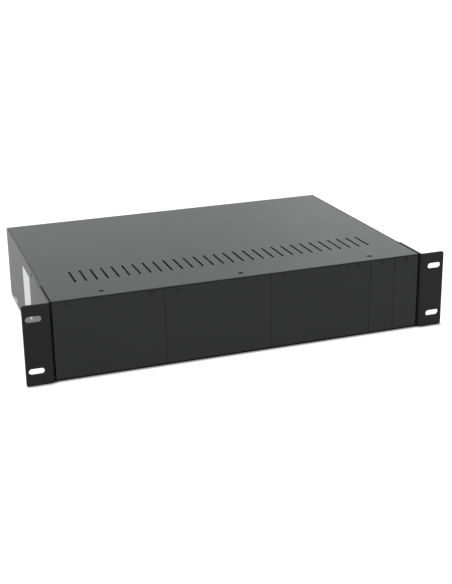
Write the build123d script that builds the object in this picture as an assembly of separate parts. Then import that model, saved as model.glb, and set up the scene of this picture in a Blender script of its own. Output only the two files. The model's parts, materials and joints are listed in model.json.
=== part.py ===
from build123d import *
import os

# Rack chassis for plug-in media converters, two rack units high, its slots closed by blank covers.
# Millimetres. +Z is up, the front faces -Y, and the origin is the middle of the body's underside.

# Rack standard
unit_height = 44.45
units_high = 2
panel_relief = 0.8
ear_span = 482.6
ear_slot_inset = 11.5
ear_slot_rise = 57.15
ear_slot_length = 16.5
ear_slot_width = 6.5

# Body
cover_slots = (4, 4, 4, 1, 1)
slot_pitch = 30.0
end_gap = 0.8
sheet = 1.2
fold = 1.8
body_depth = 290.0
fit = 0.3

# Top cover
flange_drop = 10.0
flange_start = 32.0
rear_lip_drop = 12.0
vent_pitch = 12.0
vent_width = 2.4
vent_length = 37.0
vent_depth = 68.7
vent_side_margin = 36.0
lid_edge = 0.9
top_screw_pitch = 155.0
top_screw_depth = 13.0
side_screw_depth = 105.0
side_screw_drop = 5.0

# Blank covers and the rail that they screw to
cover_sheet = 1.5
cover_gap = 0.3
cover_lift = 0.5
cover_edge = 0.2
cover_screw_drop = 5.7
tab_width = 10.0
tab_reach = 5.0
lip_rise = 8.0
rail_shelf = 20.0
rail_foot = 12.0

# Rack ears
ear_sheet = 2.0
ear_fold = 3.0
ear_proud = 2.3
ear_flange = 52.0
ear_corner = 2.0
ear_flange_corner = 5.0
ear_screw_depths = (18.0, 40.0)
ear_screw_rise = 44.0

# Converter slots
module_height = 73.0
module_play = 0.6
guide_sheet = 1.0
guide_rise = 6.0
guide_start = 8.0
guide_lead = 5.0
guide_window_width = 18.0
guide_window_length = 58.0

# Plug wall and backplane
plug_wall_depth = 98.0
plug_wall_foot = 11.0
plug_rise = 21.0
plug_body_width = 9.0
plug_body_height = 10.0
plug_body_nose = 1.0
plug_barrel = 9.5
plug_barrel_radius = 2.75
plug_bore_radius = 1.25
plug_bore_depth = 8.0
wall_window_width = 20.0
wall_window_height = 26.0
wall_window_drop = 10.0
board_sheet = 1.6
board_low = 5.0
board_height = 36.0
board_inset = 3.0
board_screw_inset = 4.5
standoff_length = 6.0
standoff_across = 5.5

# Rear panel, supply bays and fans
panel_foot = 12.0
panel_screw_inset = 5.0
bay_margin = 12.0
bay_width = 100.0
bay_height = 60.0
face_sheet = 1.5
face_overlap = 8.0
face_screw_inset = 4.0
face_screw_rise = 40.0
fan_size = 60.0
fan_depth = 25.0
fan_bore = 28.5
fan_hole_pitch = 50.0
fan_hole_radius = 2.2
fan_pitch = 80.0
fan_rise = 38.0
fan_flange = 3.5
fan_corner = 3.0
fan_plate = 3.0
fan_strut = 3.0
fan_wall = 1.0
hub_radius = 13.0
hub_wall = 1.5
hub_length = 18.0
stator_gap = 1.0
shaft_radius = 1.5
running = 0.05
blade_count = 7
blade_sheet = 1.2
blade_root_chord = 13.0
blade_tip_chord = 18.0
blade_root_angle = 52.0
blade_tip_angle = 36.0
blade_camber = 0.12
blade_tip_gap = 1.0
guard_sheet = 1.2
guard_wire = 1.6
guard_ring_step = 6.0
guard_ring_count = 4
guard_lug_radius = 3.6

# Power supply
case_sheet = 1.0
case_fold = 1.5
case_lid_drop = 8.0
socket_depth = 9.0
socket_width = 28.0
socket_height = 9.0
socket_slot_depth = 7.0
tongue_width = 20.0
supply_board_rise = 6.0
supply_board_inset = 4.0
transformer_size = (38.0, 22.0, 30.0)
core_leg = 6.0
coil_proud = 5.0
coil_corner = 3.0
capacitor_radius = 11.0
capacitor_height = 32.0
capacitor_rim = 0.9
capacitor_pitch = 30.0

# Mains inlet and switch
inlet_offset = 22.0
inlet_flange = (31.0, 24.5)
inlet_flange_sheet = 1.8
inlet_body = (27.0, 20.0)
inlet_length = 24.0
inlet_mouth = (22.5, 15.6)
inlet_mouth_depth = 16.8
inlet_chamfer = 4.0
contact_size = (2.0, 4.0)
contact_spread = 7.0
contact_offset = 2.2
contact_tail = 7.0
contact_short = 2.0
contact_play = 0.05
switch_offset = 26.0
bezel_size = (17.0, 24.0)
bezel_sheet = 1.5
switch_body_size = (14.6, 21.6)
switch_length = 16.0
switch_wall = 1.2
switch_floor = 8.0
rocker_half = 8.4
rocker_crest = 3.2
rocker_valley = 2.0
rocker_shoulder = 0.6
rocker_keel = 3.0
rocker_play = 0.2
rocker_tilt = 7.0
pivot_depth = 0.5
trunnion_radius = 1.2
trunnion_length = 0.9

# Screws, countersunk and pan-headed
small_shank = 1.5
small_head = 2.75
small_head_height = 1.2
small_length = 6.0
large_shank = 2.0
large_head = 4.0
large_head_height = 2.0
large_length = 6.5
pan_head = 2.9
pan_head_height = 2.0
pan_crown = 0.9
fan_screw_shank = 2.05
fan_screw_head = 3.5
fan_screw_length = 12.0
screw_sunk = 0.1
hole_play = 0.1
clear_cut = 0.5

# Levels and planes that several pieces share
slot_count = sum(cover_slots)
height = units_high * unit_height - panel_relief
body_width = slot_count * slot_pitch + 2 * (end_gap + sheet)
half_width = body_width / 2
wall_inside = half_width - sheet
front_y = -body_depth / 2
back_y = body_depth / 2
under_lid = height - sheet
lid_half = wall_inside - fit
flange_inside = lid_half - fold
floor_half = wall_inside - fold + sheet
rail_y = front_y + cover_sheet
guide_y = front_y + guide_start
guide_floor = sheet + guide_sheet
guide_ceiling = guide_floor + module_height + module_play
rail_low = guide_ceiling + guide_sheet
cover_low = sheet + cover_lift
cover_top = under_lid - fit
cover_screw_z = height - cover_screw_drop
wall_y = front_y + plug_wall_depth
board_y = wall_y + sheet + standoff_length
board_back = board_y + board_sheet
plug_z = guide_floor + plug_rise
rear_y = back_y - sheet
panel_inside = rear_y - sheet
bay_low = 2 * sheet
bay_z = bay_low + bay_height / 2
face_y = rear_y + face_sheet
case_width = bay_width - 2 * fit
case_low = bay_low + fit
case_height = bay_height - 2 * fit
case_front = board_back + socket_depth + fit
supply_board_z = case_low + case_sheet + supply_board_rise
side_screw_z = height - side_screw_drop
ear_slot_x = ear_span / 2 - ear_slot_inset
bay_middle = half_width - bay_margin - bay_width / 2
fan_middle = fan_pitch / 2
board_half = flange_inside - board_inset


def block(x0, x1, y0, y1, z0, z1):
    # A box between two corners
    middle = Pos((x0 + x1) / 2, (y0 + y1) / 2, (z0 + z1) / 2)
    return middle * Box(x1 - x0, y1 - y0, z1 - z0)


def toward(x, y, z, direction):
    # A place whose local +Z looks along the given direction
    return Plane(origin=(x, y, z), z_dir=direction).location


def front_place(x, y, z):
    # A place on the front: local +Z looks forward and local +Y looks up
    return Plane(origin=(x, y, z), x_dir=(1, 0, 0), z_dir=(0, -1, 0)).location


def rear_place(x, y, z):
    # A place on the rear: local +Z looks back and local +Y looks up
    return Plane(origin=(x, y, z), x_dir=(-1, 0, 0), z_dir=(0, 1, 0)).location


def folded(points, thickness, radius):
    # Section of a bent sheet, with the points on one face and the sheet to the left of the path
    path = FilletPolyline(*points, radius=radius)
    return make_face(path.offset_2d(thickness, side=Side.LEFT, closed=True))


def shaft(radius, low, high):
    # A cylinder along local Z
    return Pos(0, 0, (low + high) / 2) * Cylinder(radius, high - low)


def flat_screw(shank, head, head_height, length):
    # Countersunk screw with its face at the origin and its shank down
    cone = Pos(0, 0, -head_height / 2) * Cone(shank, head, head_height)
    return cone + shaft(shank, -length, -head_height)


def flat_hole(shank, head, head_height, length):
    # What a countersunk screw needs cut away, from above its face down past its tip
    wide = head + hole_play + screw_sunk
    mouth = shaft(wide, -screw_sunk, clear_cut)
    cone = Pos(0, 0, -screw_sunk - head_height / 2) * Cone(shank + hole_play, wide, head_height)
    return mouth + cone + shaft(shank + hole_play, -length - clear_cut, -head_height)


def pan_screw(shank, head, head_height, length):
    # Pan-headed screw with the underside of its head at the origin and its shank down
    dome = shaft(head, 0, head_height)
    rim = dome.edges().group_by(Axis.Z)[-1]
    return chamfer(rim, pan_crown) + shaft(shank, -length, 0)


def slot_edge(index):
    return (index - slot_count / 2) * slot_pitch


def slot_middle(index):
    return slot_edge(index + 0.5)


def cover_runs():
    # First slot and number of slots of each blank cover, from the left
    runs = []
    first = 0
    for slots in cover_slots:
        runs.append((first, slots))
        first += slots
    return runs


def cover_ends(first, slots):
    # Middles of the first and last slot under a cover, where its screws and tabs are
    return sorted({slot_middle(first), slot_middle(first + slots - 1)})


small_screw = flat_screw(small_shank, small_head, small_head_height, small_length)
small_hole = flat_hole(small_shank, small_head, small_head_height, small_length)
large_screw = flat_screw(large_shank, large_head, large_head_height, large_length)
large_hole = flat_hole(large_shank, large_head, large_head_height, large_length)
small_pan = pan_screw(small_shank, pan_head, pan_head_height, small_length)
small_pan_hole = shaft(small_shank + hole_play, -small_length - clear_cut, clear_cut)
board_screw_length = board_sheet + standoff_length - fit
board_hole = shaft(small_shank + hole_play, -board_screw_length - clear_cut, clear_cut)

cover_screw_places = []
for first, slots in cover_runs():
    for x in cover_ends(first, slots):
        cover_screw_places.append(toward(x, front_y, cover_screw_z, (0, -1, 0)))
rail_hole_places = [toward(slot_middle(i), front_y, cover_screw_z, (0, -1, 0)) for i in range(slot_count)]

top_screw_places = []
for x in (-top_screw_pitch, 0, top_screw_pitch):
    top_screw_places.append(toward(x, front_y + top_screw_depth, height, (0, 0, 1)))
    top_screw_places.append(toward(x, back_y, height - rear_lip_drop / 2, (0, 1, 0)))

side_screw_places = []
ear_screw_places = []
for side in (-1, 1):
    out = (side, 0, 0)
    side_screw_places.append(toward(side * half_width, front_y + side_screw_depth, side_screw_z, out))
    for depth in ear_screw_depths:
        for rise in (-ear_screw_rise / 2, ear_screw_rise / 2):
            face = side * (half_width + ear_sheet)
            ear_screw_places.append(toward(face, front_y + depth, height / 2 + rise, out))

panel_screw_places = []
panel_screw_edge = floor_half - panel_screw_inset
for x in (-panel_screw_edge, -fan_middle, fan_middle, panel_screw_edge):
    panel_screw_places.append(toward(x, rear_y - panel_foot / 2, 0, (0, 0, -1)))

standoff_places = []
for side in (-1, 1):
    for x in (bay_middle - bay_width / 2, board_half - board_screw_inset):
        for z in (board_low + board_screw_inset, board_low + board_height - board_screw_inset):
            standoff_places.append(toward(side * x, board_back, z, (0, 1, 0)))

face_screw_places = []
for middle in (-bay_middle, bay_middle):
    for across in (-1, 1):
        for rise in (-face_screw_rise / 2, face_screw_rise / 2):
            x = middle + across * (bay_width / 2 + face_screw_inset)
            face_screw_places.append(toward(x, face_y, bay_z + rise, (0, 1, 0)))

fan_screw_places = []
for middle in (-fan_middle, fan_middle):
    for across in (-fan_hole_pitch / 2, fan_hole_pitch / 2):
        for rise in (-fan_hole_pitch / 2, fan_hole_pitch / 2):
            fan_screw_places.append(
                toward(middle + across, rear_y + guard_sheet, fan_rise + rise, (0, 1, 0)))


def cut_all(solid, tool, places):
    return solid - [place * tool for place in places]


def base_tray():
    points = [(-half_width, height), (-half_width, 0), (half_width, 0), (half_width, height)]
    section = folded(points, sheet, fold)
    tray = Pos(0, front_y, 0) * extrude(Plane.XZ * section, -body_depth)
    lip_half = wall_inside - fold
    tray -= block(-lip_half, lip_half, front_y - clear_cut, rail_y + 2 * fold, -clear_cut, 2 * sheet)
    lip = folded([(rail_y, lip_rise), (rail_y, 0), (rail_y + 3 * fold, 0)], sheet, fold)
    tray += Pos(-lip_half, 0, 0) * extrude(Plane.YZ * lip, 2 * lip_half)
    for first, slots in cover_runs():
        for x in cover_ends(first, slots):
            half = tab_width / 2 + fit
            tray -= block(x - half, x + half, rail_y - fit, rail_y + 2 * sheet,
                          cover_low - fit, cover_low + cover_sheet + fit)
    tray = cut_all(tray, small_hole, side_screw_places)
    tray = cut_all(tray, large_hole, ear_screw_places)
    return cut_all(tray, small_hole, panel_screw_places)


def top_cover():
    low = height - flange_drop
    points = [(lid_half, low), (lid_half, height), (-lid_half, height), (-lid_half, low)]
    section = folded(points, sheet, fold)
    lid = Pos(0, front_y, 0) * extrude(Plane.XZ * section, -body_depth)
    flange_end = rear_y - panel_foot - fit
    for y0, y1 in ((front_y, front_y + flange_start), (flange_end, back_y)):
        lid -= block(-half_width, half_width, y0, y1, low - fit, under_lid - fold)
        for side in (-1, 1):
            inner, outer = sorted((side * (lid_half - fold), side * half_width))
            lid -= block(inner, outer, y0, y1, low - fit, under_lid)
    lip_half = lid_half - fold
    lid += block(-lip_half, lip_half, rear_y, back_y, height - rear_lip_drop, height)
    top_edges = lid.edges().filter_by(Axis.X).group_by(Axis.Z)[-1].group_by(Axis.Y)
    lid = fillet(top_edges[0] + top_edges[-1], lid_edge)
    vent_count = int((2 * lid_half - 2 * vent_side_margin) // vent_pitch) + 1
    vent = extrude(SlotOverall(vent_length, vent_width, 90), sheet, both=True)
    row = Pos(0, front_y + vent_depth, height)
    lid = cut_all(lid, vent, [row * spot for spot in GridLocations(vent_pitch, 1, vent_count, 1)])
    lid = cut_all(lid, small_hole, top_screw_places)
    return cut_all(lid, small_hole, side_screw_places)


def front_rail():
    points = [(rail_y + rail_shelf, under_lid), (rail_y, under_lid), (rail_y, rail_low),
              (rail_y + rail_foot, rail_low)]
    section = folded(points, sheet, fold)
    rail = Pos(-wall_inside, 0, 0) * extrude(Plane.YZ * section, 2 * wall_inside)
    for side in (-1, 1):
        inner, outer = sorted((side * (wall_inside - sheet), side * wall_inside))
        rail += block(inner, outer, rail_y + sheet / 2, rail_y + rail_foot, rail_low + sheet / 2,
                      under_lid - sheet / 2)
    rail = cut_all(rail, small_hole, rail_hole_places)
    return cut_all(rail, small_hole, top_screw_places)


def blank_cover(first, slots):
    low = max(slot_edge(first) + cover_gap / 2, -wall_inside + cover_gap)
    high = min(slot_edge(first + slots) - cover_gap / 2, wall_inside - cover_gap)
    cover = block(low, high, front_y, rail_y, cover_low, cover_top)
    rim = cover.faces().sort_by(Axis.Y)[0].edges()
    cover = fillet(rim, cover_edge)
    for x in cover_ends(first, slots):
        half = tab_width / 2
        cover += block(x - half, x + half, front_y + cover_edge, rail_y + tab_reach, cover_low,
                       cover_low + cover_sheet)
    return cut_all(cover, small_hole, cover_screw_places)


def rack_ear():
    # The left ear; the right one is its mirror image
    face = front_y - ear_proud
    points = [(-ear_span / 2, face), (-half_width, face), (-half_width, front_y + ear_flange)]
    ear = extrude(folded(points, ear_sheet, ear_fold), height)
    ear = fillet(ear.edges().filter_by(Axis.Y).group_by(Axis.X)[0], ear_corner)
    ear = fillet(ear.edges().filter_by(Axis.X).group_by(Axis.Y)[-1], ear_flange_corner)
    slot = extrude(SlotOverall(ear_slot_length, ear_slot_width), ear_sheet + clear_cut, both=True)
    for rise in (-ear_slot_rise / 2, ear_slot_rise / 2):
        ear -= front_place(-ear_slot_x, face, height / 2 + rise) * slot
    return cut_all(ear, large_hole, ear_screw_places)


def guide_plate(low):
    # Sheet under or over the converters, with a window for the air at each slot
    plate = block(-floor_half, floor_half, guide_y, wall_y, low, low + guide_sheet)
    middle = (guide_y + wall_y) / 2
    window = Box(guide_window_width, guide_window_length, 2 * (guide_sheet + clear_cut))
    return cut_all(plate, window, [Pos(slot_middle(i), middle, low) for i in range(slot_count)])


def slot_ribs(foot, tip):
    # Upright ribs between the slots, with a slope where a converter enters
    lead = guide_y + guide_lead
    profile = make_face(Polyline((guide_y, foot), (lead, tip), (wall_y, tip), (wall_y, foot), close=True))
    rib = extrude(Plane.YZ * profile, guide_sheet / 2, both=True)
    end = floor_half - guide_sheet / 2
    return [Pos(max(-end, min(end, slot_edge(i))), 0, 0) * rib for i in range(slot_count + 1)]


def plug_wall():
    points = [(wall_y + plug_wall_foot, under_lid), (wall_y, under_lid), (wall_y, sheet),
              (wall_y + plug_wall_foot, sheet)]
    wall = Pos(-flange_inside, 0, 0) * extrude(Plane.YZ * folded(points, sheet, fold), 2 * flange_inside)
    half_plug = plug_body_width / 2 + fit
    plug_low = plug_z - plug_body_height / 2 - fit
    plug_high = plug_z + plug_body_height / 2 + fit
    window_high = under_lid - wall_window_drop
    for i in range(slot_count):
        x = slot_middle(i)
        wall -= block(x - half_plug, x + half_plug, wall_y - fit, wall_y + 2 * sheet, plug_low, plug_high)
        wall -= block(x - wall_window_width / 2, x + wall_window_width / 2, wall_y - fit,
                      wall_y + 2 * sheet, window_high - wall_window_height, window_high)
    return wall


def backplane_board():
    board = block(-board_half, board_half, board_y, board_back, board_low, board_low + board_height)
    return cut_all(board, board_hole, standoff_places)


def standoffs():
    hexagon = RegularPolygon(standoff_across / 2, 6, major_radius=False)
    post = Pos(0, 0, -board_sheet - standoff_length) * extrude(hexagon, standoff_length)
    post -= board_hole
    return [place * post for place in standoff_places]


def dc_plug(index):
    nose = wall_y - plug_body_nose
    x = slot_middle(index)
    half = plug_body_width / 2
    rise = plug_body_height / 2
    plug = block(x - half, x + half, nose, board_y, plug_z - rise, plug_z + rise)
    barrel = shaft(plug_barrel_radius, 0, plug_barrel)
    bore = shaft(plug_bore_radius, plug_barrel - plug_bore_depth, plug_barrel + clear_cut)
    return plug + toward(x, nose, plug_z, (0, -1, 0)) * (barrel - bore)


def rear_panel():
    points = [(rear_y - panel_foot, sheet), (rear_y, sheet), (rear_y, under_lid),
              (rear_y - panel_foot, under_lid)]
    panel = Pos(-floor_half, 0, 0) * extrude(Plane.YZ * folded(points, sheet, fold), 2 * floor_half)
    for middle in (-bay_middle, bay_middle):
        panel -= block(middle - bay_width / 2, middle + bay_width / 2, panel_inside - fold,
                       rear_y + clear_cut, bay_low, bay_low + bay_height)
    for middle in (-fan_middle, fan_middle):
        panel -= toward(middle, panel_inside, fan_rise, (0, 1, 0)) * shaft(fan_bore, -fit, sheet + fit)
    panel = cut_all(panel, shaft(fan_hole_radius, -2 * sheet - guard_sheet, fit), fan_screw_places)
    panel = cut_all(panel, small_pan_hole, face_screw_places)
    panel = cut_all(panel, small_hole, top_screw_places)
    return cut_all(panel, small_hole, panel_screw_places)


def fan_frame(middle):
    square = RectangleRounded(fan_size, fan_size, fan_corner)
    body = extrude(square, fan_flange)
    body += Pos(0, 0, fan_depth - fan_flange) * extrude(square, fan_flange)
    body += shaft(fan_bore + fan_wall, 0, fan_depth)
    body -= shaft(fan_bore, -clear_cut, fan_depth + clear_cut)
    corners = GridLocations(fan_hole_pitch, fan_hole_pitch, 2, 2)
    body = cut_all(body, shaft(fan_hole_radius, -clear_cut, fan_depth + clear_cut), corners)
    body += shaft(hub_radius, 0, fan_plate)
    for angle in (0, 90, 180, 270):
        reach = fan_bore + fan_wall / 2
        body += Rot(0, 0, angle) * block(0, reach, -fan_strut / 2, fan_strut / 2, 0, fan_plate)
    stator = hub_radius - hub_wall - stator_gap
    body += shaft(stator, 0, fan_plate + hub_length - hub_wall - stator_gap)
    body -= shaft(shaft_radius + running, fan_plate / 2, fan_depth)
    return toward(middle, panel_inside, fan_rise, (0, -1, 0)) * body


def blade_section(radius, chord, pitch, level):
    # Curved strip across a blade, its chord turned away from the plane of the fan
    half = chord / 2
    edge = blade_sheet / 2
    rise = blade_camber * chord
    front = SagittaArc((-half, -edge), (half, -edge), rise)
    back = SagittaArc((half, edge), (-half, edge), -rise)
    outline = front + Line(front @ 1, back @ 0) + back + Line(back @ 1, front @ 0)
    station = Plane(origin=(radius, 0, level), x_dir=(0, 1, 0), z_dir=(1, 0, 0))
    return station * Rot(0, 0, pitch) * make_face(outline)


def fan_rotor(middle):
    low = fan_plate + stator_gap
    high = fan_plate + hub_length
    cup = fillet(shaft(hub_radius, low, high).edges().group_by(Axis.Z)[-1], hub_wall)
    cup -= shaft(hub_radius - hub_wall, low - clear_cut, high - hub_wall)
    rotor = cup + shaft(shaft_radius, fan_plate / 2 + running, high - hub_wall / 2)
    level = (low + high) / 2
    root = blade_section(hub_radius - hub_wall / 2, blade_root_chord, blade_root_angle, level)
    tip = blade_section(fan_bore, blade_tip_chord, blade_tip_angle, level)
    blade = loft([root, tip], ruled=True) & shaft(fan_bore - blade_tip_gap, 0, fan_depth)
    for i in range(blade_count):
        rotor += Rot(0, 0, 360 * i / blade_count) * blade
    return toward(middle, panel_inside, fan_rise, (0, -1, 0)) * rotor


def fan_guard(middle):
    grid = Circle(guard_ring_step - guard_wire)
    for i in range(1, guard_ring_count + 1):
        radius = i * guard_ring_step
        grid += Circle(radius + guard_wire / 2) - Circle(radius - guard_wire / 2)
    diagonal = fan_hole_pitch * 2 ** 0.5
    for angle in (45, 135):
        grid += Rot(0, 0, angle) * Rectangle(diagonal, guard_wire)
    corners = GridLocations(fan_hole_pitch, fan_hole_pitch, 2, 2)
    grid += corners * Circle(guard_lug_radius)
    grid -= corners * Circle(fan_hole_radius)
    return toward(middle, rear_y, fan_rise, (0, 1, 0)) * extrude(grid, guard_sheet)


def face_plate(middle):
    half = bay_width / 2 + face_overlap
    top = bay_low + bay_height + face_overlap
    plate = block(middle - half, middle + half, rear_y, face_y, sheet + fit, top)
    plate = fillet(plate.edges().filter_by(Axis.Y), face_sheet)
    return cut_all(plate, small_pan_hole, face_screw_places)


def supply_face():
    plate = face_plate(bay_middle)
    inlet = rear_place(bay_middle + inlet_offset, face_y, bay_z)
    switch = rear_place(bay_middle - switch_offset, face_y, bay_z)
    depth = 2 * (face_sheet + clear_cut)
    plate -= inlet * Box(inlet_body[0] + fit, inlet_body[1] + fit, depth)
    return plate - switch * Box(switch_body_size[0] + fit, switch_body_size[1] + fit, depth)


def supply_case():
    half = case_width / 2
    top = case_low + case_height
    points = [(-half, top), (-half, case_low), (half, case_low), (half, top)]
    length = rear_y - case_front
    section = folded(points, case_sheet, case_fold)
    case = Pos(0, case_front, 0) * extrude(Plane.XZ * section, -length)
    inner = half - case_sheet / 2
    case += block(-inner, inner, case_front, case_front + case_sheet, case_low + case_sheet / 2, top)
    half_tongue = tongue_width / 2 + fit
    case -= block(-half_tongue, half_tongue, case_front - fit, case_front + 2 * case_sheet,
                  supply_board_z - fit, supply_board_z + board_sheet + fit)
    return Pos(bay_middle, 0, 0) * case


def supply_lid():
    half = case_width / 2 - case_sheet - fit
    top = case_low + case_height
    low = top - case_lid_drop
    section = folded([(half, low), (half, top), (-half, top), (-half, low)], case_sheet, case_fold)
    y0 = case_front + case_sheet + fit
    length = rear_y - fit - y0
    return Pos(bay_middle, y0, 0) * extrude(Plane.XZ * section, -length)


supply_board_half = case_width / 2 - case_sheet - supply_board_inset
supply_board_front = case_front + case_sheet + supply_board_inset
supply_board_end = panel_inside - inlet_length - contact_tail - supply_board_inset


def supply_board():
    z0 = supply_board_z
    z1 = supply_board_z + board_sheet
    tongue = tongue_width / 2
    tongue_end = board_back + socket_depth - socket_slot_depth + fit
    board = block(-supply_board_half, supply_board_half, supply_board_front, supply_board_end, z0, z1)
    board += block(-tongue, tongue, tongue_end, supply_board_front, z0, z1)
    feet = []
    spread_x = 2 * (supply_board_half - board_screw_inset)
    spread_y = supply_board_end - supply_board_front - 2 * board_screw_inset
    middle_y = (supply_board_front + supply_board_end) / 2
    for place in GridLocations(spread_x, spread_y, 2, 2):
        foot = shaft(standoff_across / 2, case_low + case_sheet, supply_board_z)
        feet.append(Pos(0, middle_y, 0) * place * foot)
    return Pos(bay_middle, 0, 0) * (board + feet)


def supply_transformer():
    width, length, rise = transformer_size
    top = supply_board_z + board_sheet
    y0 = supply_board_front + board_screw_inset + coil_proud
    y1 = y0 + length
    core = block(-width / 2, width / 2, y0, y1, top, top + rise)
    half = width / 2 - core_leg
    coil = block(-half, half, y0 - coil_proud, y1 + coil_proud, top + core_leg, top + rise - core_leg)
    coil = fillet(coil.edges().filter_by(Axis.Z), coil_corner)
    return Pos(bay_middle, 0, 0) * (core + coil)


def supply_capacitor(side):
    top = supply_board_z + board_sheet
    y = supply_board_end - board_screw_inset - capacitor_radius * 2
    can = shaft(capacitor_radius, top, top + capacitor_height)
    can = chamfer(can.edges().group_by(Axis.Z)[-1], capacitor_rim)
    return Pos(bay_middle + side * capacitor_pitch / 2, y, 0) * can


def supply_socket(middle):
    z = supply_board_z + board_sheet / 2
    y1 = board_back + socket_depth
    socket = block(middle - socket_width / 2, middle + socket_width / 2, board_back, y1,
                   z - socket_height / 2, z + socket_height / 2)
    half = tongue_width / 2 + fit
    slot_half = board_sheet / 2 + fit
    return socket - block(middle - half, middle + half, y1 - socket_slot_depth, y1 + clear_cut,
                          z - slot_half, z + slot_half)


def mouth_outline():
    # Mains inlet mouth, with its two upper corners cut off
    width, rise = inlet_mouth
    outline = Rectangle(width, rise)
    return chamfer(outline.vertices().group_by(Axis.Y)[-1], inlet_chamfer)


def contact_spots():
    return [(-contact_spread, -contact_offset), (0, contact_offset), (contact_spread, -contact_offset)]


def mains_inlet():
    inlet = extrude(RectangleRounded(*inlet_flange, fan_corner), inlet_flange_sheet)
    inlet += extrude(Rectangle(*inlet_body), -inlet_length)
    bottom = inlet_flange_sheet - inlet_mouth_depth
    inlet -= Pos(0, 0, bottom) * extrude(mouth_outline(), inlet_mouth_depth + clear_cut)
    for x, y in contact_spots():
        hole = Rectangle(contact_size[0] + 2 * contact_play, contact_size[1] + 2 * contact_play)
        inlet -= Pos(x, y, -inlet_length - clear_cut) * extrude(hole, inlet_length)
    return rear_place(bay_middle + inlet_offset, face_y, bay_z) * inlet


def inlet_contacts():
    low = -inlet_length - contact_tail
    length = inlet_flange_sheet - contact_short - low
    blade = Pos(0, 0, low) * extrude(Rectangle(*contact_size), length)
    place = rear_place(bay_middle + inlet_offset, face_y, bay_z)
    return [place * Pos(x, y, 0) * blade for x, y in contact_spots()]


switch_place = rear_place(bay_middle - switch_offset, face_y, bay_z)
cavity_width = switch_body_size[0] - 2 * switch_wall


def power_switch():
    body = extrude(RectangleRounded(*bezel_size, bezel_sheet), bezel_sheet)
    body += extrude(Rectangle(*switch_body_size), -switch_length)
    cavity = Rectangle(cavity_width, switch_body_size[1] - 2 * switch_wall)
    body -= Pos(0, 0, -switch_floor) * extrude(cavity, switch_floor + bezel_sheet + clear_cut)
    reach = cavity_width / 2 + trunnion_length
    pin = shaft(trunnion_radius + running, -reach, reach)
    body -= Pos(0, 0, -pivot_depth) * Rot(0, 90, 0) * pin
    return switch_place * body


def power_rocker():
    points = [(-rocker_half, rocker_crest), (0, rocker_valley), (rocker_half, rocker_crest),
              (rocker_half, rocker_shoulder), (rocker_keel, -rocker_keel), (-rocker_keel, -rocker_keel),
              (-rocker_half, rocker_shoulder)]
    half = cavity_width / 2 - rocker_play
    profile = make_face(Polyline(*points, close=True))
    rocker = extrude(Plane.YZ * profile, half, both=True)
    reach = cavity_width / 2 + trunnion_length - rocker_play
    rocker += Rot(0, 90, 0) * shaft(trunnion_radius, -reach, reach)
    return switch_place * Pos(0, 0, -pivot_depth) * Rot(rocker_tilt, 0, 0) * rocker


# Every piece by its name
left_ear = rack_ear()
nodes = {
    "base_tray": base_tray(),
    "top_cover": top_cover(),
    "rear_panel": rear_panel(),
    "front_rail": front_rail(),
    "rack_ear_left": left_ear,
    "rack_ear_right": mirror(left_ear, Plane.YZ),
    "lower_guide": guide_plate(sheet),
    "upper_guide": guide_plate(guide_ceiling),
    "lower_ribs": slot_ribs(guide_floor, guide_floor + guide_rise),
    "upper_ribs": slot_ribs(guide_ceiling, guide_ceiling - guide_rise),
    "plug_wall": plug_wall(),
    "backplane_board": backplane_board(),
    "board_standoffs": standoffs(),
    "supply_face": supply_face(),
    "supply_case": supply_case(),
    "supply_lid": supply_lid(),
    "supply_board": supply_board(),
    "supply_transformer": supply_transformer(),
    "supply_capacitor_1": supply_capacitor(-1),
    "supply_capacitor_2": supply_capacitor(1),
    "bay_cover": face_plate(-bay_middle),
    "mains_inlet": mains_inlet(),
    "inlet_contacts": inlet_contacts(),
    "power_switch": power_switch(),
    "power_rocker": power_rocker(),
}
wide_count = 0
single_count = 0
for first, slots in cover_runs():
    if slots > 1:
        wide_count += 1
        name = f"wide_blank_cover_{wide_count}"
    else:
        single_count += 1
        name = f"single_blank_cover_{single_count}"
    nodes[name] = blank_cover(first, slots)
for index in range(slot_count):
    nodes[f"dc_plug_{index + 1}"] = dc_plug(index)
for number, middle in enumerate((-fan_middle, fan_middle), 1):
    nodes[f"fan_frame_{number}"] = fan_frame(middle)
    nodes[f"fan_rotor_{number}"] = fan_rotor(middle)
    nodes[f"fan_guard_{number}"] = fan_guard(middle)
for number, middle in enumerate((-bay_middle, bay_middle), 1):
    nodes[f"supply_socket_{number}"] = supply_socket(middle)

# Screws, one node for each kind and place
sunk = Pos(0, 0, -screw_sunk)
board_screw = pan_screw(small_shank, pan_head, pan_head_height, board_screw_length)
fan_screw = pan_screw(fan_screw_shank, fan_screw_head, pan_head_height, fan_screw_length)
nodes["blank_cover_screws"] = [place * sunk * small_screw for place in cover_screw_places]
nodes["top_cover_screws"] = [place * sunk * small_screw for place in top_screw_places]
nodes["side_cover_screws"] = [place * sunk * small_screw for place in side_screw_places]
nodes["rack_ear_screws"] = [place * sunk * large_screw for place in ear_screw_places]
nodes["rear_panel_screws"] = [place * sunk * small_screw for place in panel_screw_places]
nodes["board_screws"] = [place * board_screw for place in standoff_places]
nodes["bay_face_screws"] = [place * small_pan for place in face_screw_places]
nodes["fan_screws"] = [place * fan_screw for place in fan_screw_places]

os.makedirs("parts", exist_ok=True)
for name, piece in nodes.items():
    if isinstance(piece, list):
        piece = Compound(children=piece)
    export_step(piece, f"parts/{name}.step")
print(len(nodes), "pieces, body", round(body_width, 2), "wide", round(height, 2), "high")
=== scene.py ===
import json
import math

import bpy
from mathutils import Matrix, Vector


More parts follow.
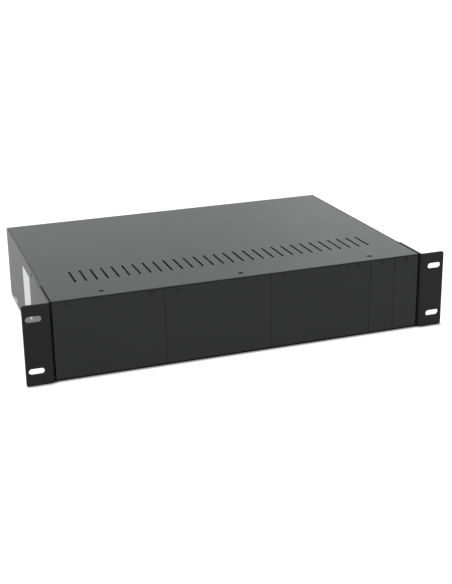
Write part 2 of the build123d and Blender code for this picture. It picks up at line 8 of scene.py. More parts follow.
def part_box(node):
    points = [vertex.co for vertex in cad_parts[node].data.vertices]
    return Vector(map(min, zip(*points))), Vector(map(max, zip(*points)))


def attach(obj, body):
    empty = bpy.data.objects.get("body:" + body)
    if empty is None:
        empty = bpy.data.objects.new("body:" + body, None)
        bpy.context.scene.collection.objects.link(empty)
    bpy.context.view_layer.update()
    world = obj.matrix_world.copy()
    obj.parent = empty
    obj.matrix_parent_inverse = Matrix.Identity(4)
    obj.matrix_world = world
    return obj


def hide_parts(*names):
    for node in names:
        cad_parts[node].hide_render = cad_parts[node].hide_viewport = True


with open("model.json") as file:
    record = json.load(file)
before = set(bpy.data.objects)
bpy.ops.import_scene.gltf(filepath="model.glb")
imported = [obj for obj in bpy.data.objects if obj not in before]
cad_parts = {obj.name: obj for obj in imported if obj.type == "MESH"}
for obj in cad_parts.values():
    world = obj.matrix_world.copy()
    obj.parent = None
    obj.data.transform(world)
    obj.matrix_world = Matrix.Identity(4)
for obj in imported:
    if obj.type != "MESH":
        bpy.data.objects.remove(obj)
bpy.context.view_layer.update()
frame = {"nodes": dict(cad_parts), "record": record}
print("frame loaded,", len(frame["nodes"]), "nodes")


# Shader arithmetic: a wire is one socket, and sums of wires add Math nodes

class Wire:
    def __init__(self, tree, socket):
        self.tree = tree
        self.socket = socket

    def reckon(self, operation, first, second):
        return self.tree.node("ShaderNodeMath", {"operation": operation}, {0: first, 1: second})

    def __add__(self, other):
        return self.reckon("ADD", self, other)

    def __sub__(self, other):
        return self.reckon("SUBTRACT", self, other)

    def __rsub__(self, other):
        return self.reckon("SUBTRACT", other, self)

    def __mul__(self, other):
        return self.reckon("MULTIPLY", self, other)

    def max(self, other):
        return self.reckon("MAXIMUM", self, other)

    __radd__ = __add__
    __rmul__ = __mul__


class Finish:
    # The node tree of one material or of the world
    def __init__(self, owner):
        owner.use_nodes = True
        self.owner = owner
        self.nodes = owner.node_tree.nodes
        self.links = owner.node_tree.links
        self.nodes.clear()

    def node(self, kind, settings=None, sockets=None, out=0):
        made = self.nodes.new(kind)
        for name, value in (settings or {}).items():
            setattr(made, name, value)
        for name, value in (sockets or {}).items():
            if isinstance(value, Wire):
                self.links.new(value.socket, made.inputs[name])
            else:
                made.inputs[name].default_value = value
        return Wire(self, made.outputs[out] if len(made.outputs) else None)

    def place(self):
        return self.node("ShaderNodeTexCoord", out="Object")

    def stretched(self, scale):
        return self.node("ShaderNodeMapping", {}, {"Vector": self.place(), "Scale": scale})

    def noise(self, vector, size, detail=2.0):
        # Noise whose grain is about size metres across
        return self.node("ShaderNodeTexNoise", {}, {"Vector": vector, "Scale": 1 / size, "Detail": detail})

    def tint(self, share, first, second):
        # Colour between two colours or colour wires
        sockets = {0: share}
        for index, colour in ((6, first), (7, second)):
            sockets[index] = colour if isinstance(colour, Wire) else (*colour, 1)
        return self.node("ShaderNodeMix", {"data_type": "RGBA"}, sockets, out=2)

    def bump(self, height, depth):
        # Height runs from 0 to 1 over depth metres
        return self.node("ShaderNodeBump", {}, {"Height": height, "Distance": depth})

    def surface(self, sockets):
        shader = self.node("ShaderNodeBsdfPrincipled", {}, sockets)
        self.node("ShaderNodeOutputMaterial", {}, {"Surface": shader})
        return self.owner


def newFinish(name):
    return Finish(bpy.data.materials.new(name))


# Finishes

def powderCoat(name, settings):
    coat = newFinish(name)
    place = coat.place()
    pebble = coat.noise(place, settings["pebble"], detail=3.0)
    cloud = coat.noise(place, settings["cloud"])
    colour = coat.tint(cloud, settings["deep"], settings["pale"])
    roughness = settings["roughness"] + (cloud - 0.5) * settings["cloudRoughness"]
    roughness += (pebble - 0.5) * settings["pebbleRoughness"]
    return coat.surface({
        "Base Color": colour, "Roughness": roughness, "Specular IOR Level": settings["gloss"],
        "Normal": coat.bump(pebble, settings["pebbleDepth"])})


coatSettings = {
    "pebble": 0.0007, "pebbleDepth": 0.000012, "pebbleRoughness": 0.06,
    "cloud": 0.05, "cloudRoughness": 0.05,
    "deep": (0.0125, 0.0128, 0.0130), "pale": (0.0165, 0.0168, 0.0170), "roughness": 0.36, "gloss": 0.30,
}
blackCoat = powderCoat("blackPowderCoat", coatSettings)
earCoat = powderCoat("earPowderCoat", {
    **coatSettings, "deep": (0.0080, 0.0082, 0.0083), "pale": (0.0105, 0.0107, 0.0108), "gloss": 0.22})
# Darker, rougher coats for faces in gaps and recesses: painted shade
paintedShadeSettings = {**coatSettings, "deep": (0.0070, 0.0072, 0.0073), "pale": (0.0105, 0.0107, 0.0108)}
trayEdgeCoat = powderCoat("trayEdgeCoat", {**paintedShadeSettings, "roughness": 0.8, "gloss": 0.05})
earEdgeCoat = powderCoat("earEdgeCoat", {**paintedShadeSettings, "roughness": 0.55, "gloss": 0.15})


def platedSteel(name, settings):
    # Rolling lines along the sheet, with faint clouds from the plating bath
    steel = newFinish(name)
    lines = steel.noise(steel.stretched((1, settings["lineStretch"], 1)), settings["line"], detail=4.0)
    cloud = steel.noise(steel.place(), settings["cloud"])
    share = cloud * settings["cloudShare"] + lines * settings["lineShare"]
    return steel.surface({
        "Base Color": steel.tint(share, settings["deep"], settings["pale"]), "Metallic": settings["metal"],
        "Roughness": settings["roughness"] + (lines - 0.5) * settings["lineRoughness"],
        "Normal": steel.bump(lines, settings["lineDepth"])})


metalSettings = {
    "line": 0.0004, "lineStretch": 1.0, "lineDepth": 0.000002, "lineShare": 0.4, "lineRoughness": 0.2,
    "cloud": 0.004, "cloudShare": 0.6, "metal": 1.0,
}
zincSteel = platedSteel("zincSteel", {
    **metalSettings, "line": 0.0006, "lineStretch": 0.04, "lineDepth": 0.000004, "cloud": 0.012,
    "roughness": 0.38, "deep": (0.42, 0.43, 0.43), "pale": (0.60, 0.61, 0.60)})
brightSteel = platedSteel("brightSteel", {
    **metalSettings, "roughness": 0.22, "deep": (0.60, 0.60, 0.59), "pale": (0.74, 0.74, 0.72)})
blackOxide = platedSteel("blackOxide", {
    **metalSettings, "line": 0.0003, "lineDepth": 0.000003, "cloud": 0.002, "metal": 0.6,
    "roughness": 0.5, "deep": (0.030, 0.030, 0.031), "pale": (0.050, 0.050, 0.051)})
plainBrass = platedSteel("plainBrass", {
    **metalSettings, "roughness": 0.28, "deep": (0.55, 0.42, 0.20), "pale": (0.72, 0.58, 0.31)})


def moulding(name, settings):
    # Spark-eroded plastic: a fine even grain
    plastic = newFinish(name)
    place = plastic.place()
    grain = plastic.noise(place, settings["grain"])
    cloud = plastic.noise(place, settings["cloud"])
    return plastic.surface({
        "Base Color": plastic.tint(cloud, settings["deep"], settings["pale"]),
        "Roughness": settings["roughness"] + (grain - 0.5) * settings["grainRoughness"],
        "Specular IOR Level": settings["gloss"], "Normal": plastic.bump(grain, settings["grainDepth"])})


mouldingSettings = {
    "grain": 0.0003, "grainDepth": 0.000006, "grainRoughness": 0.12, "cloud": 0.02,
    "roughness": 0.5, "gloss": 0.5, "deep": (0.012, 0.012, 0.012), "pale": (0.017, 0.017, 0.018),
}
blackMoulding = moulding("blackMoulding", mouldingSettings)
fanMoulding = moulding("fanMoulding", {
    **mouldingSettings, "roughness": 0.38, "pale": (0.021, 0.021, 0.022)})
sleeve = moulding("capacitorSleeve", {
    **mouldingSettings, "roughness": 0.25, "deep": (0.015, 0.025, 0.07), "pale": (0.02, 0.035, 0.09)})
varnish = moulding("coilVarnish", {
    **mouldingSettings, "roughness": 0.35, "deep": (0.10, 0.06, 0.02), "pale": (0.16, 0.10, 0.03)})
labelFilm = {**mouldingSettings, "grain": 0.0008, "grainDepth": 0.000002}
whiteLabel = moulding("whiteLabel", {
    **labelFilm, "deep": (0.86, 0.86, 0.88), "pale": (0.94, 0.94, 0.95)})
pinkLabel = moulding("pinkLabel", {
    **labelFilm, "deep": (0.80, 0.66, 0.61), "pale": (0.89, 0.80, 0.75)})
# A near-black matt finish for the strip under the covers: painted shade
blackFoam = moulding("blackFoam", {
    **mouldingSettings, "grain": 0.0006, "grainDepth": 0.0001, "roughness": 0.9, "gloss": 0.1,
    "deep": (0.003, 0.003, 0.003), "pale": (0.006, 0.006, 0.006)})
whiteInk = moulding("whiteInk", {
    **mouldingSettings, "grainDepth": 0.000001, "deep": (0.70, 0.70, 0.70), "pale": (0.78, 0.78, 0.78)})


def circuitBoard(name, settings):
    # Lacquered board: the tracks under the lacquer show as a paler green
    board = newFinish(name)
    bricks = board.node("ShaderNodeTexBrick", {"offset": 0.5}, {
        "Vector": board.place(), "Scale": 1 / settings["track"],
        "Mortar Size": settings["trackWidth"], "Mortar Smooth": settings["trackBlur"],
        "Brick Width": settings["fieldLength"], "Row Height": settings["fieldWidth"]}, out="Fac")
    weave = board.noise(board.place(), settings["weave"])
    colour = board.tint(bricks, settings["lacquer"], settings["copper"])
    return board.surface({
        "Base Color": board.tint(weave * settings["weaveShare"], colour, settings["lacquer"]),
        "Roughness": settings["roughness"], "Normal": board.bump(bricks, settings["trackDepth"])})


boardGreen = circuitBoard("boardGreen", {
    # Track is in metres; the widths, the blur and the length are shares of it
    "track": 0.008, "trackWidth": 0.12, "trackBlur": 0.1, "fieldLength": 2.5, "fieldWidth": 0.5,
    "trackDepth": 0.00003, "weave": 0.001, "weaveShare": 0.3, "roughness": 0.3,
    "lacquer": (0.012, 0.085, 0.035), "copper": (0.03, 0.15, 0.06)})
print("finishes made")


# Handling of pieces

mendSettings = {"gap": 1e-6, "flatAngle": 0.3}  # metres and degrees


def takeUp(piece):
    # Only this piece is selected and active
    if bpy.context.mode != "OBJECT":
        bpy.ops.object.mode_set(mode="OBJECT")
    bpy.ops.object.select_all(action="DESELECT")
    piece.select_set(True)
    bpy.context.view_layer.objects.active = piece


def applyAll(piece):
    takeUp(piece)
    for modifier in list(piece.modifiers):
        bpy.ops.object.modifier_apply(modifier=modifier.name)
    bpy.ops.object.transform_apply(location=True, rotation=True, scale=True)


def merged(piece):
    # Points that lie closer than the gap become one
    takeUp(piece)
    bpy.ops.object.mode_set(mode="EDIT")
    bpy.ops.mesh.select_all(action="SELECT")
    bpy.ops.mesh.remove_doubles(threshold=mendSettings["gap"])
    bpy.ops.object.mode_set(mode="OBJECT")


def eased(piece, width, segments=2, fromAngle=38):
    # Rounds the sharp edges of a piece by width metres
    bevel = piece.modifiers.new("easedEdges", "BEVEL")
    bevel.width = width
    bevel.segments = segments
    bevel.limit_method = "ANGLE"
    bevel.angle_limit = math.radians(fromAngle)
    applyAll(piece)


def smoothed(piece, angle=35):
    # Smooth over gentle angles, with the large faces left flat
    takeUp(piece)
    bpy.ops.object.shade_smooth_by_angle(angle=math.radians(angle))
    weighting = piece.modifiers.new("flatFaces", "WEIGHTED_NORMAL")
    weighting.keep_sharp = True
    applyAll(piece)


def finished(piece, material, body, replaced=()):
    piece.data.materials.clear()
    piece.data.materials.append(material)
    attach(piece, body)
    if replaced:
        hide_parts(*replaced)
    return piece


def coatEdges(piece, material, chosen):
    # A second coat for the faces that chosen picks; the darker coats among them are painted shade for gaps
    # and recesses
    piece.data.materials.append(material)
    for face in piece.data.polygons:
        if chosen(face):
            face.material_index = 1


def joined(pieces, name):
    takeUp(pieces[0])
    for piece in pieces:
        piece.select_set(True)
    bpy.ops.object.join()
    pieces[0].name = name
    return pieces[0]


def placedCopy(master, place, outward, turn=0.0):
    # A copy with its own mesh, its Z axis pointing outward
    copy = bpy.data.objects.new(master.name, master.data.copy())
    bpy.context.scene.collection.objects.link(copy)
    facing = outward.to_track_quat("Z", "Y").to_matrix().to_4x4()
    copy.matrix_world = Matrix.Translation(place) @ facing @ Matrix.Rotation(turn, 4, "Z")
    applyAll(copy)
    return copy


def turned(name, profile, corners=32):
    # Round piece drawn up from its lowest face; profile lists radius and height
    bpy.ops.object.select_all(action="DESELECT")
    radius, height = profile[0]
    bpy.ops.mesh.primitive_circle_add(
        vertices=corners, radius=radius, fill_type="NGON", location=(0, 0, height))
    piece = bpy.context.object
    piece.name = name
    bpy.ops.object.mode_set(mode="EDIT")
    bpy.ops.mesh.select_all(action="SELECT")
    for nextRadius, nextHeight in profile[1:]:
        bpy.ops.mesh.extrude_region_move(TRANSFORM_OT_translate={"value": (0, 0, nextHeight - height)})
        bpy.ops.transform.resize(value=(nextRadius / radius, nextRadius / radius, 1))
        radius, height = nextRadius, nextHeight
    bpy.ops.mesh.select_all(action="SELECT")
    bpy.ops.mesh.normals_make_consistent(inside=False)
    applyAll(piece)
    return piece


def nodeCopy(nodeName, pieceName):
    # The node's own mesh, its loose triangles joined and its flat faces made whole
    piece = bpy.data.objects.new(pieceName, frame["nodes"][nodeName].data.copy())
    bpy.context.scene.collection.objects.link(piece)
    takeUp(piece)
    bpy.ops.object.mode_set(mode="EDIT")
    bpy.ops.mesh.select_all(action="SELECT")
    bpy.ops.mesh.remove_doubles(threshold=mendSettings["gap"])
    bpy.ops.mesh.dissolve_limited(angle_limit=math.radians(mendSettings["flatAngle"]))
    bpy.ops.object.mode_set(mode="OBJECT")
    return piece


# Sheet metal and mouldings that keep the node's form and get eased edges

bodies = frame["record"]["behaviour"]["bodies"]
bodyOf = {node: body for body, members in bodies.items() for node in members}
slotOf = {part["node"]: part["material_slot"] for part in frame["record"]["subparts"]}

easedNodes = {
    "base_tray": ("floorTray", blackCoat, 0.0002),
    "top_cover": ("topLid", blackCoat, 0.0002),
    "rear_panel": ("rearPanel", blackCoat, 0.0002),
    "rack_ear_left": ("leftEar", earCoat, 0.0003),
    "rack_ear_right": ("rightEar", earCoat, 0.0003),
    "bay_cover": ("spareBayPlate", blackCoat, 0.0002),
    "supply_face": ("supplyFace", blackCoat, 0.0002),
    "mains_inlet": ("mainsInlet", blackMoulding, 0.0002),
    "power_switch": ("switchBezel", blackMoulding, 0.0002),
    "power_rocker": ("switchRocker", blackMoulding, 0.0003),
}
for name in frame["nodes"]:
    if "blank_cover" in name and not name.endswith("screws"):
        easedNodes[name] = (name.replace("_", "") + "Plate", blackCoat, 0.0001)
    if name.startswith("fan_frame"):
        easedNodes[name] = ("fanFrame" + name[-1], fanMoulding, 0.0002)

foldSettings = {"solidRadius": 0.0018, "radius": 0.0006}


def tightened(lid, settings):
    # The lid's side folds are drawn out to a smaller radius, so they meet the tray's sides
    sideX = max(vertex.co.x for vertex in lid.data.vertices)
    topZ = max(vertex.co.z for vertex in lid.data.vertices)
    gain = settings["solidRadius"] - settings["radius"]
    for vertex in lid.data.vertices:
        across = abs(vertex.co.x) - (sideX - settings["solidRadius"])
        up = vertex.co.z - (topZ - settings["solidRadius"])
        reach = math.hypot(across, up)
        if across > 0 and up > 0 and reach > settings["radius"]:
            share = gain * reach / settings["solidRadius"]
            vertex.co.x += math.copysign(share * (1 - across / reach), vertex.co.x)
            vertex.co.z += share * (1 - up / reach)


for name, (pieceName, material, width) in easedNodes.items():
    piece = nodeCopy(name, pieceName)
    if name == "top_cover":
        tightened(piece, foldSettings)
    eased(piece, width)
    if "blank_cover" in name:
        merged(piece)
    smoothed(piece)
    finished(piece, material, bodyOf[name], [name])
print("sheet metal eased")

cutEdges = {
    # How far a normal leans towards an axis, from 0 to 1
    "upward": 0.5, "nearlyAlong": 0.9, "lidFlat": 0.98,
    # Metres: how deep the edges of the lid and the tray reach, and how far in the lid's cut-outs begin
    "lidSheet": 0.0015, "trayRim": 0.001, "lidMargin": 0.004,
}
# The ears' upward faces get a second coat: the left ear the body's coat, the right ear a darker coat,
# painted shade for the gap beside the lid
for name, edgeCoat in (("leftEar", blackCoat), ("rightEar", earEdgeCoat)):
    coatEdges(bpy.data.objects[name], edgeCoat, lambda face: face.normal.z > cutEdges["upward"])
(lidLeft, lidFront, _), (lidRight, lidBack, lidTop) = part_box("top_cover")
# The walls of the lid's cut-outs get the darker coat: painted shade inside the vents
coatEdges(bpy.data.objects["topLid"], trayEdgeCoat, lambda face: (
    -cutEdges["nearlyAlong"] < face.normal.z < cutEdges["lidFlat"]
    and face.center.z > lidTop - cutEdges["lidSheet"]
    and lidLeft + cutEdges["lidMargin"] < face.center.x < lidRight - cutEdges["lidMargin"]
    and lidFront + cutEdges["lidMargin"] < face.center.y < lidBack - cutEdges["lidMargin"]))
tray = bpy.data.objects["floorTray"]
earBack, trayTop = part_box("rack_ear_left")[1][1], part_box("base_tray")[1][2]
takeUp(tray)
bpy.ops.object.mode_set(mode="EDIT")
bpy.ops.mesh.select_all(action="SELECT")
bpy.ops.mesh.bisect(plane_co=(0, earBack, 0), plane_no=(0, 1, 0))
bpy.ops.object.mode_set(mode="OBJECT")
# The tray's front-facing faces and its top rim beside the ears get the darker coat: painted shade under the
# covers and in the gap along the ears' flanges
coatEdges(tray, trayEdgeCoat, lambda face: face.normal.y < -cutEdges["nearlyAlong"] or (
    face.normal.z > cutEdges["upward"] and face.center.z > trayTop - cutEdges["trayRim"]
    and face.center.y < earBack))
print("cut edges coated")

for name in ("fan_rotor_1", "fan_rotor_2"):
    piece = nodeCopy(name, name.replace("fan_rotor_", "fanRotor"))
    smoothed(piece, angle=30)
    finished(piece, fanMoulding, bodyOf[name], [name])
print("rotors smoothed")


# Screws with cross recesses: one of each kind is modelled, then copied to the places in the frame

flatSmall = {
    "headRadius": 0.00275, "headHeight": 0.0012, "shankRadius": 0.0015, "length": 0.006, "sunk": 0.00045}
flatLarge = {
    "headRadius": 0.004, "headHeight": 0.002, "shankRadius": 0.002, "length": 0.0065, "sunk": 0.0003}
panSmall = {
    "headRadius": 0.0029, "headHeight": 0.002, "shankRadius": 0.0015, "length": 0.006, "sunk": None}
panFan = {
    "headRadius": 0.0035, "headHeight": 0.002, "shankRadius": 0.00205, "length": 0.012, "sunk": None}
flatForm = {"rim": 0.00015, "tip": 0.85}  # metres, and a share of the shank's radius
# Shares of the head's height and radius; the angles of the dome's rings are in degrees
domeForm = {"shoulder": 0.62, "flat": 0.45, "round": 0.55, "angles": (25, 50, 70)}
recess = {
    # Radius is a share of the head's; reach, wing and depth are shares of that radius
    "radius": 0.9, "reach": 1.6, "wing": 0.46, "depth": 0.55, "reachTaper": 0.5, "wingTaper": 0.7,
    "floorNormal": -0.5,
}
screwTurn = {"first": 12, "step": 37}  # degrees, so that no two neighbours stop alike
screwRows = {
    "blank_cover_screws": ("coverScrews", flatSmall),
    "top_cover_screws": ("lidScrews", flatSmall),
    "side_cover_screws": ("sideScrews", flatSmall),
    "rear_panel_screws": ("panelScrews", flatSmall),
    "rack_ear_screws": ("earScrews", flatLarge),
    "bay_face_screws": ("bayScrews", panSmall),
    "fan_screws": ("fanScrews", panFan),
}


def cutCross(piece, radius, sunk):
    # Two tapered bars cut the recess into a face that lies sunk metres below height zero
    depth = radius * recess["depth"] + sunk
    for turn in (0, 90):
        bpy.ops.object.select_all(action="DESELECT")
        bpy.ops.mesh.primitive_cube_add(
            size=1, scale=(radius * recess["reach"], radius * recess["wing"], depth * 2))
        cutter = bpy.context.object
        bpy.ops.object.mode_set(mode="EDIT")
        bpy.ops.mesh.select_all(action="DESELECT")
        bpy.ops.object.mode_set(mode="OBJECT")
        for face in cutter.data.polygons:
            face.select = face.normal.z < recess["floorNormal"]
        bpy.ops.object.mode_set(mode="EDIT")
        bpy.ops.transform.resize(value=(recess["reachTaper"], recess["wingTaper"], 1))
        bpy.ops.object.mode_set(mode="OBJECT")
        cutter.rotation_euler.z = math.radians(turn)
        cut = piece.modifiers.new("crossRecess", "BOOLEAN")
        cut.operation = "DIFFERENCE"
        cut.object = cutter
        applyAll(piece)
        bpy.data.objects.remove(cutter)


def screwMaster(settings):
    head, shank = settings["headRadius"], settings["shankRadius"]
    rise, length, sunk = settings["headHeight"], settings["length"], settings["sunk"]
    if sunk is None:
        # Domed above its underside, with the top of the head at height zero
        shoulder = rise * domeForm["shoulder"]
        profile = [(shank, -rise - length), (shank, -rise), (head, -rise), (head, -shoulder)]
        for angle in domeForm["angles"]:
            bend = math.radians(angle)
            reach = head * (domeForm["flat"] + domeForm["round"] * math.cos(bend))
            profile.append((reach, -shoulder * (1 - math.sin(bend))))
    else:
        # The cone of a head that is screwed in a little below the sheet's face
        rim = flatForm["rim"]
        wide = shank + (head - shank) * (1 - (sunk + rim) / rise)
        profile = [
            (shank * flatForm["tip"], -length), (shank, -length + rim), (shank, -rise),
            (wide, -sunk - rim), (wide - rim, -sunk)]
    screw = turned("screwMaster", profile)
    cutCross(screw, head * recess["radius"], sunk or 0)
    smoothed(screw, angle=30)
    return screw


def screwStations(nodeName):
    # Middle of the head's top and the outward direction of each screw in a node
    guide = nodeCopy(nodeName, "screwGuide")
    bpy.ops.object.mode_set(mode="EDIT")
    bpy.ops.mesh.select_all(action="SELECT")
    bpy.ops.mesh.separate(type="LOOSE")
    bpy.ops.object.mode_set(mode="OBJECT")
    stations = []
    for screw in list(bpy.context.selected_objects):
        points = [vertex.co for vertex in screw.data.vertices]
        low = Vector([min(point[i] for point in points) for i in range(3)])
        high = Vector([max(point[i] for point in points) for i in range(3)])
        middle = (low + high) / 2
        span = high - low
        axis = max(range(3), key=lambda i: abs(2 * span[i] - span[i - 1] - span[i - 2]))
        arms = [(point - middle, point) for point in points]
        widest = max(arms, key=lambda arm: arm[0].length_squared - arm[0][axis] ** 2)[1]
        outward = Vector((0, 0, 0))
        outward[axis] = 1 if widest[axis] > middle[axis] else -1
        stations.append((middle + outward * span[axis] / 2, outward))
        bpy.data.objects.remove(screw)
    return stations


for nodeName, (pieceName, kind) in screwRows.items():
    master = screwMaster(kind)
    copies = []
    for index, (place, outward) in enumerate(screwStations(nodeName)):
        turn = math.radians(screwTurn["step"] * index + screwTurn["first"])
        copies.append(placedCopy(master, place, outward, turn))
    bpy.data.objects.remove(master)
    row = joined(copies, pieceName)
    finished(row, blackOxide, bodyOf[nodeName], [nodeName])
print("screws placed")


# Fan guards of round wire, in place of the flat ones

guardSettings = {
    "rings": (0.006, 0.012, 0.018, 0.024), "holePitch": 0.050, "loopRadius": 0.004, "bossRadius": 0.0044,
    # Shares of the boss's radius and of the wire's width
    "bossProfile": ((1, 0), (1, 0.7), (0.9, 0.95), (0.4, 1)),
    "spokeRounding": 6,  # the wire's width is this many times the rounding of the spokes' ends
}


def guardMaster(settings, wire):
    # Lies flat on height zero, one wire thick
    level = (0, 0, wire / 2)
    parts = []
    for radius in settings["rings"]:
        bpy.ops.mesh.primitive_torus_add(
            major_radius=radius, minor_radius=wire / 2, major_segments=56, minor_segments=10,
            location=level)
        parts.append(bpy.context.object)
    corner = settings["holePitch"] / 2
    for x in (-corner, corner):
        for y in (-corner, corner):
            bpy.ops.mesh.primitive_torus_add(
                major_radius=settings["loopRadius"], minor_radius=wire / 2,
                major_segments=28, minor_segments=10, location=(x, y, wire / 2))
            parts.append(bpy.context.object)
    reach = corner * math.sqrt(2) - settings["loopRadius"]
    for turn in (45, 135):
        bpy.ops.mesh.primitive_cylinder_add(
            vertices=12, radius=wire / 2, depth=2 * reach, location=level,
            rotation=(math.pi / 2, 0, math.radians(turn)))
        spoke = bpy.context.object
        eased(spoke, wire / settings["spokeRounding"])
        parts.append(spoke)
    parts.append(turned("guardBoss", [
        (settings["bossRadius"] * across, wire * up) for across, up in settings["bossProfile"]]))
    guard = joined(parts, "guardMaster")
    applyAll(guard)
    smoothed(guard, angle=40)
    return guard


low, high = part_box("fan_guard_1")
guard = guardMaster(guardSettings, high[1] - low[1])
for nodeName in ("fan_guard_1", "fan_guard_2"):
    low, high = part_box(nodeName)
    place = Vector(((low[0] + high[0]) / 2, low[1], (low[2] + high[2]) / 2))
    piece = placedCopy(guard, place, Vector((0, 1, 0)))
    piece.name = nodeName.replace("fan_guard_", "fanGuard")
    finished(piece, brightSteel, bodyOf[nodeName], [nodeName])
bpy.data.objects.remove(guard)
print("fan guards made")


# Marks for on and off, printed on the two slopes of the rocker

markSettings = {
    "bar": (0.0009, 0.0042), "barRounding": 3,  # the bar's width is this many times its rounding
    "ringRadius": 0.0021, "inkWidth": 0.0007, "inkThickness": 0.00004,
    "facing": 0.9,  # how far a slope's normal leans outward, from 0 to 1
}


def rockerSlopes(rocker, settings):
    # Middle and direction of the rocker's two outer faces, the upper one first
    slopes = [face for face in rocker.data.polygons if face.normal.y > settings["facing"]]
    slopes = sorted(slopes, key=lambda face: face.area)[-2:]
    slopes.sort(key=lambda face: -face.center.z)
    return [(face.center.copy(), face.normal.copy()) for face in slopes]


def barMark(settings):
    bpy.ops.object.select_all(action="DESELECT")
    width, length = settings["bar"]
    bpy.ops.mesh.primitive_cube_add(size=1, scale=(width, length, settings["inkThickness"]))
    bar = bpy.context.object
    eased(bar, width / settings["barRounding"], segments=3)
    merged(bar)
    return bar


def ringMark(settings):
    bpy.ops.object.select_all(action="DESELECT")
    bpy.ops.mesh.primitive_torus_add(
        major_radius=settings["ringRadius"], minor_radius=settings["inkWidth"] / 2,
        major_segments=36, minor_segments=8)
    ring = bpy.context.object
    bpy.ops.object.mode_set(mode="EDIT")
    bpy.ops.mesh.select_all(action="SELECT")
    bpy.ops.transform.resize(value=(1, 1, settings["inkThickness"] / settings["inkWidth"]))
    applyAll(ring)
    return ring


slopes = rockerSlopes(bpy.data.objects["switchRocker"], markSettings)
for name, master, (place, outward) in zip(
        ("onMark", "offMark"), (barMark(markSettings), ringMark(markSettings)), slopes):
    mark = placedCopy(master, place, outward)
    mark.name = name
    bpy.data.objects.remove(master)
    finished(mark, whiteInk, "rocker")
print("switch marked")


# Black strip in the gap under the blank covers, in front of the tray's lip: a dark sheet of painted shade
# in place of the recess's shadow

gapShadeSettings = {"setBack": 0.0006, "depth": 0.0014, "clear": 0.0001, "rounding": 0.0003}


def gapSeal(settings):
    covers = [
        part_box(name) for name in frame["nodes"] if "blank_cover" in name and not name.endswith("screws")]
    startX, endX = min(low[0] for low, high in covers), max(high[0] for low, high in covers)
    front = covers[0][0][1] + settings["setBack"]
    height = covers[0][0][2] - 2 * settings["clear"]
    bpy.ops.object.select_all(action="DESELECT")
    bpy.ops.mesh.primitive_cube_add(
        size=1, scale=(endX - startX, settings["depth"], height),
        location=((startX + endX) / 2, front + settings["depth"] / 2, height / 2 + settings["clear"]))
    shadeStrip = bpy.context.object
    shadeStrip.name = "gapSeal"
    eased(shadeStrip, settings["rounding"], segments=3)
    smoothed(shadeStrip)
    return finished(shadeStrip, blackFoam, "chassis")


gapSeal(gapShadeSettings)
print("foam strip laid")


# Two blank labels on the left side

labelSettings = {
    # Two opposite corners on the tray's side, each as depth and height
    "sideLabel": {
        "from": (-0.0205, 0.0222), "to": (0.0265, 0.0745), "corner": 0.0015, "material": whiteLabel},
    "edgeSticker": {
        "from": (0.094, 0.003), "to": (0.111, 0.008), "corner": 0.0008, "material": pinkLabel},
}
labelThickness = 0.00012
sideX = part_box("base_tray")[0][0]
for name, settings in labelSettings.items():
    (y0, z0), (y1, z1) = settings["from"], settings["to"]
    bpy.ops.object.select_all(action="DESELECT")
    bpy.ops.mesh.primitive_cube_add(
        size=1, scale=(labelThickness, y1 - y0, z1 - z0),
        location=(sideX - labelThickness / 2, (y0 + y1) / 2, (z0 + z1) / 2))
    label = bpy.context.object
    label.name = name
    bpy.ops.object.transform_apply(location=True, rotation=True, scale=True)
    bpy.ops.object.mode_set(mode="EDIT")
    bpy.ops.mesh.select_mode(type="EDGE")
    bpy.ops.mesh.select_all(action="DESELECT")
    bpy.ops.object.mode_set(mode="OBJECT")
    for edge in label.data.edges:
        first, second = (label.data.vertices[index].co for index in edge.vertices)
        edge.select = abs(first.x - second.x) > labelThickness / 2
    bpy.ops.object.mode_set(mode="EDIT")
    bpy.ops.mesh.bevel(offset=settings["corner"], segments=4)
    bpy.ops.mesh.select_mode(type="VERT")
    applyAll(label)
    smoothed(label, angle=30)
    finished(label, settings["material"], "chassis")
print("labels placed")


# Plain finishes for the nodes that stay as they are

stayingFinish = {
    "zinc_steel": zincSteel, "board_green": boardGreen, "black_moulding": blackMoulding,
    "brass_part": plainBrass, "black_coat": blackCoat, "black_screw": blackOxide,
    "bright_screw": brightSteel, "transformer_core": varnish, "capacitor_sleeve": sleeve,
}
for name, node in frame["nodes"].items():
    if not node.hide_render:
        node.data.materials.clear()
        node.data.materials.append(stayingFinish[slotOf[name]])
print("nodes finished")


# Stage, light and camera

stageSettings = {
    "floorSize": 60.0, "floorDrop": 0.0003, "floorColour": (0.62, 0.62, 0.62), "glow": 1.5,
    "glowSeen": 0.72, "glowMirrored": 0.47, "contactReach": 0.0055, "contactLean": (-0.5, 0.45, 0.74),
    "skyColour": (0.98, 0.995, 1.0), "skyLevel": 0.8, "skySeen": 1.19,
}
lampSettings = {
    # Power in watts, width in metres and place
    "overheadSoftbox": {"power": 14.0, "width": 2.4, "place": (-0.9, 0.4, 2.2)},
    "rearSoftbox": {"power": 3.0, "width": 1.6, "place": (1.9, 2.3, 1.1)},
}


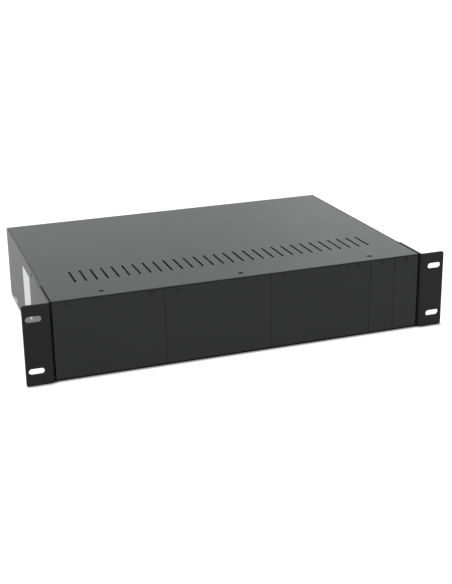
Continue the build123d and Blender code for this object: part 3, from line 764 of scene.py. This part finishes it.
def whiteFloor(settings):
    bpy.ops.mesh.primitive_plane_add(size=settings["floorSize"], location=(0, 0, -settings["floorDrop"]))
    floor = bpy.context.object
    floor.name = "studioFloor"
    paper = newFinish("floorPaper")
    seen = paper.node("ShaderNodeLightPath", out="Is Camera Ray")
    mirrored = paper.node("ShaderNodeLightPath", out="Is Glossy Ray")
    # The floor's glow is dimmed by ambient occlusion near the body, a painted contact shadow; the lean
    # keeps it on the front, where light from the back left would cast it
    lean = paper.node("ShaderNodeVectorMath", {"operation": "NORMALIZE"}, {0: settings["contactLean"]})
    contact = paper.node("ShaderNodeAmbientOcclusion", {"samples": 8}, {
        "Distance": settings["contactReach"], "Normal": lean}, out="AO")
    glow = paper.node("ShaderNodeEmission", {}, {"Strength": contact * contact * settings["glow"]})
    matt = paper.node("ShaderNodeBsdfDiffuse", {}, {"Color": (*settings["floorColour"], 1)})
    mixed = paper.node("ShaderNodeMixShader", {}, {
        0: seen * settings["glowSeen"] + mirrored * settings["glowMirrored"], 1: matt, 2: glow})
    paper.node("ShaderNodeOutputMaterial", {}, {"Surface": mixed})
    floor.data.materials.append(paper.owner)


def whiteSky(settings):
    world = bpy.data.worlds.new("studioWorld")
    bpy.context.scene.world = world
    sky = Finish(world)
    camera = sky.node("ShaderNodeLightPath", out="Is Camera Ray")
    glossy = sky.node("ShaderNodeLightPath", out="Is Glossy Ray")
    through = sky.node("ShaderNodeLightPath", out="Is Transmission Ray")
    seen = camera.max(through).max(glossy)
    level = settings["skyLevel"] + seen * (settings["skySeen"] - settings["skyLevel"])
    light = sky.node("ShaderNodeBackground", {}, {"Color": (*settings["skyColour"], 1), "Strength": level})
    sky.node("ShaderNodeOutputWorld", {}, {"Surface": light})


def softbox(name, settings):
    lamp = bpy.data.lights.new(name, "AREA")
    lamp.energy = settings["power"]
    lamp.size = settings["width"]
    holder = bpy.data.objects.new(name, lamp)
    holder.location = settings["place"]
    holder.rotation_euler = (-holder.location).to_track_quat("-Z", "Y").to_euler()
    holder.visible_camera = False
    bpy.context.scene.collection.objects.link(holder)


cameraSettings = {
    # Place in metres from the middle of the body's underside, angles in degrees
    "place": (-0.37408, -1.12103, 0.44907), "pitch": -17.253, "turn": -17.837, "roll": 1.349,
    # Focal length and optical centre in pixels of the photograph's frame
    "focal": 1029.72, "centre": (190.95, 245.0), "frameSize": (452, 584), "sensor": 36.0,
}


def photoCamera(settings):
    width, height = settings["frameSize"]
    lens = bpy.data.cameras.new("photoCamera")
    lens.sensor_width = settings["sensor"]
    lens.lens = settings["focal"] * settings["sensor"] / height
    lens.shift_x = (width / 2 - settings["centre"][0]) / height
    lens.shift_y = (settings["centre"][1] - height / 2) / height
    holder = bpy.data.objects.new("photoCamera", lens)
    pitch, turn, roll = (math.radians(settings[name]) for name in ("pitch", "turn", "roll"))
    aim = Matrix.Rotation(turn, 4, "Z") @ Matrix.Rotation(pitch, 4, "X") @ Matrix.Rotation(roll, 4, "Y")
    holder.matrix_world = Matrix.Translation(settings["place"]) @ aim @ Matrix.Rotation(math.pi / 2, 4, "X")
    bpy.context.scene.collection.objects.link(holder)
    bpy.context.scene.camera = holder


whiteFloor(stageSettings)
whiteSky(stageSettings)
for name, settings in lampSettings.items():
    softbox(name, settings)
photoCamera(cameraSettings)
bpy.context.scene.view_settings.view_transform = "Standard"
print("stage, light and camera set")
